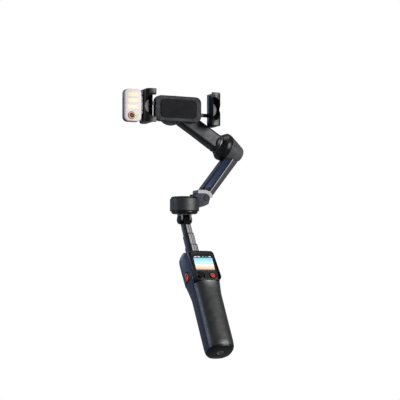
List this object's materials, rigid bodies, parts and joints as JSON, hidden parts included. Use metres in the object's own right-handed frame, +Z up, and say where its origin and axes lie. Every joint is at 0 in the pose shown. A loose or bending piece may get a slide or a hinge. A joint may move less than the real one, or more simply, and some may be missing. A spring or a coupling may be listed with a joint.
{
  "type": "phone camera gimbal",
  "caption": "Handheld phone gimbal: grip with docked remote, telescopic rod, tilting neck, folding arm, pan, tilt and roll motors and a jaw clamp with a clip-on light.",
  "frame": {"origin": "mouth of the tripod thread in the handle's base", "axes": "+Z up along the pan motor's axis, -Y towards the user (the side that the phone's screen and the remote face), +X to the user's right; the handle leans back 31 degrees from +Z in the YZ plane"},
  "size_m": [0.1645, 0.1359, 0.3107],
  "materials": {
    "navy_shell": "satin, fine metallic navy",
    "black_shell": "fine satin black",
    "graphite_metal": "satin graphite",
    "silver_metal": "fine brushed",
    "steel": "turned",
    "copper_coil": "enamelled windings",
    "brass": "turned",
    "rubber": "fine matt grain",
    "orange_plastic": "satin orange-red",
    "frosted_panel": "frosted translucent white",
    "dark_glass": "polished black glass",
    "circuit_board": "solder mask",
    "battery_wrap": "shrink sleeve"
  },
  "bodies": {
    "handle": {"grip_front_cover": "black_shell", "grip_rear_shell": "navy_shell", "base_cap": "navy_shell", "thread_insert": "silver_metal", "head_shell": "navy_shell", "dock_frame": "black_shell", "dock_window": "dark_glass", "usb_port": "steel", "battery_pack": "battery_wrap", "main_board": "circuit_board", "rod_outer_tube": "steel", "rod_collar": "black_shell"},
    "zoom_rocker": {"zoom_rocker": "orange_plastic"},
    "power_button": {"power_button": "graphite_metal"},
    "rod_lower": {"rod_stage_lower": "graphite_metal"},
    "rod_middle": {"rod_stage_middle": "graphite_metal"},
    "rod_upper": {"rod_stage_upper": "graphite_metal", "neck_knuckle": "black_shell"},
    "neck": {"neck_bracket": "black_shell", "neck_pin": "silver_metal", "pan_base": "black_shell", "pan_stator": "copper_coil"},
    "pan_head": {"pan_housing": "black_shell", "pan_cap": "black_shell", "pan_magnets": "steel", "hinge_lug": "graphite_metal"},
    "arm": {"hinge_band": "silver_metal", "hinge_pin": "steel", "arm_core": "silver_metal", "arm_inner_cover": "navy_shell", "arm_outer_cover": "graphite_metal", "elbow_housing": "black_shell", "elbow_cap": "graphite_metal", "elbow_stator": "copper_coil"},
    "link": {"elbow_flange": "silver_metal", "elbow_magnets": "steel", "link_arm": "graphite_metal", "roll_housing": "black_shell", "roll_cap": "graphite_metal", "roll_stator": "copper_coil"},
    "clamp": {"roll_rotor": "silver_metal", "clamp_body": "black_shell", "clamp_pad": "rubber"},
    "left_jaw": {"left_jaw": "black_shell", "left_jaw_pad": "rubber", "light_mount": "steel"},
    "right_jaw": {"right_jaw": "black_shell", "right_jaw_pad": "rubber"},
    "sync_pinion": {"sync_pinion": "brass"},
    "light": {"light_housing": "navy_shell", "light_diffuser": "frosted_panel", "tracker_ring": "orange_plastic", "tracker_lens": "dark_glass"},
    "remote": {"remote_front_case": "graphite_metal", "remote_back_case": "black_shell", "remote_display": "dark_glass"},
    "joystick_ring": {"joystick_ring": "steel"},
    "joystick": {"joystick": "rubber"},
    "record_button": {"record_button": "graphite_metal"},
    "remote_side_button": {"remote_side_button": "graphite_metal"}
  },
  "joints": [
    {"name": "zoom_rocker_tilt", "type": "hinge", "parent": "handle", "child": "zoom_rocker", "pos_m": [-0.0165, 0.05215, 0.08486], "axis": [0, 0.8572, -0.515], "range_deg": [-6, 6], "stiffness_Nm_per_rad": 0.06},
    {"name": "power_button_press", "type": "slide", "parent": "handle", "child": "power_button", "axis": [-1, 0, 0], "range_m": [0, 0.0006], "stiffness_N_per_m": 500},
    {"name": "rod_lower_slide", "type": "slide", "parent": "handle", "child": "rod_lower", "axis": [0, 0.515, 0.8572], "range_m": [-0.011, 0.05]},
    {"name": "rod_middle_slide", "type": "slide", "parent": "rod_lower", "child": "rod_middle", "axis": [0, 0.515, 0.8572], "range_m": [-0.0155, 0.048]},
    {"name": "rod_upper_slide", "type": "slide", "parent": "rod_middle", "child": "rod_upper", "axis": [0, 0.515, 0.8572], "range_m": [-0.013, 0.045]},
    {"name": "neck_tilt", "type": "hinge", "parent": "rod_upper", "child": "neck", "pos_m": [0, 0.10103, 0.15454], "axis": [1, 0, 0], "range_deg": [-31, 29]},
    {"name": "pan_turn", "type": "hinge", "parent": "neck", "child": "pan_head", "pos_m": [0, 0.10103, 0.17154], "axis": [0, 0, 1], "range_deg": [-165, 165]},
    {"name": "arm_fold", "type": "hinge", "parent": "pan_head", "child": "arm", "pos_m": [0.0264, 0.10702, 0.18094], "axis": [0, 1, 0], "range_deg": [0, 95]},
    {"name": "tilt_turn", "type": "hinge", "parent": "arm", "child": "link", "pos_m": [0.0608, 0.10702, 0.24114], "axis": [-0.9205, 0, 0.3907], "range_deg": [-45, 45]},
    {"name": "roll_turn", "type": "hinge", "parent": "link", "child": "clamp", "pos_m": [-0.0136, 0.10103, 0.28444], "axis": [0, 1, 0], "range_deg": [-95, 95]},
    {"name": "left_jaw_slide", "type": "slide", "parent": "clamp", "child": "left_jaw", "axis": [-1, 0, 0], "range_m": [-0.0093, 0.0056]},
    {"name": "right_jaw_slide", "type": "slide", "parent": "clamp", "child": "right_jaw", "axis": [1, 0, 0], "range_m": [-0.0095, 0.0058]},
    {"name": "sync_pinion_spin", "type": "hinge", "parent": "clamp", "child": "sync_pinion", "pos_m": [-0.0136, 0.09143, 0.28444], "axis": [0, 1, 0], "range_deg": [-95, 156]},
    {"name": "light_pull_off", "type": "slide", "parent": "left_jaw", "child": "light", "axis": [-1, 0, 0], "range_m": [0, 0.03]},
    {"name": "remote_undock", "type": "slide", "parent": "handle", "child": "remote", "axis": [0, -0.8572, 0.515], "range_m": [0, 0.06]},
    {"name": "joystick_up_down", "type": "hinge", "parent": "remote", "child": "joystick_ring", "pos_m": [-0.008, 0.03826, 0.08562], "axis": [1, 0, 0], "range_deg": [-12, 12], "stiffness_Nm_per_rad": 0.01},
    {"name": "joystick_left_right", "type": "hinge", "parent": "joystick_ring", "child": "joystick", "pos_m": [-0.008, 0.03826, 0.08562], "axis": [0, 0.515, 0.8572], "range_deg": [-12, 12], "stiffness_Nm_per_rad": 0.01},
    {"name": "remote_side_button_press", "type": "slide", "parent": "remote", "child": "remote_side_button", "axis": [-1, 0, 0], "range_m": [0, 0.0005], "stiffness_N_per_m": 400},
    {"name": "record_button_press", "type": "slide", "parent": "remote", "child": "record_button", "axis": [0, 0.8572, -0.515], "range_m": [0, 0.0007], "stiffness_N_per_m": 400}
  ],
  "couplings": [
    {"joint": "right_jaw_slide", "follows": "left_jaw_slide", "ratio": 1},
    {"joint": "sync_pinion_spin", "follows": "left_jaw_slide", "rad_per_m": -290}
  ]
}
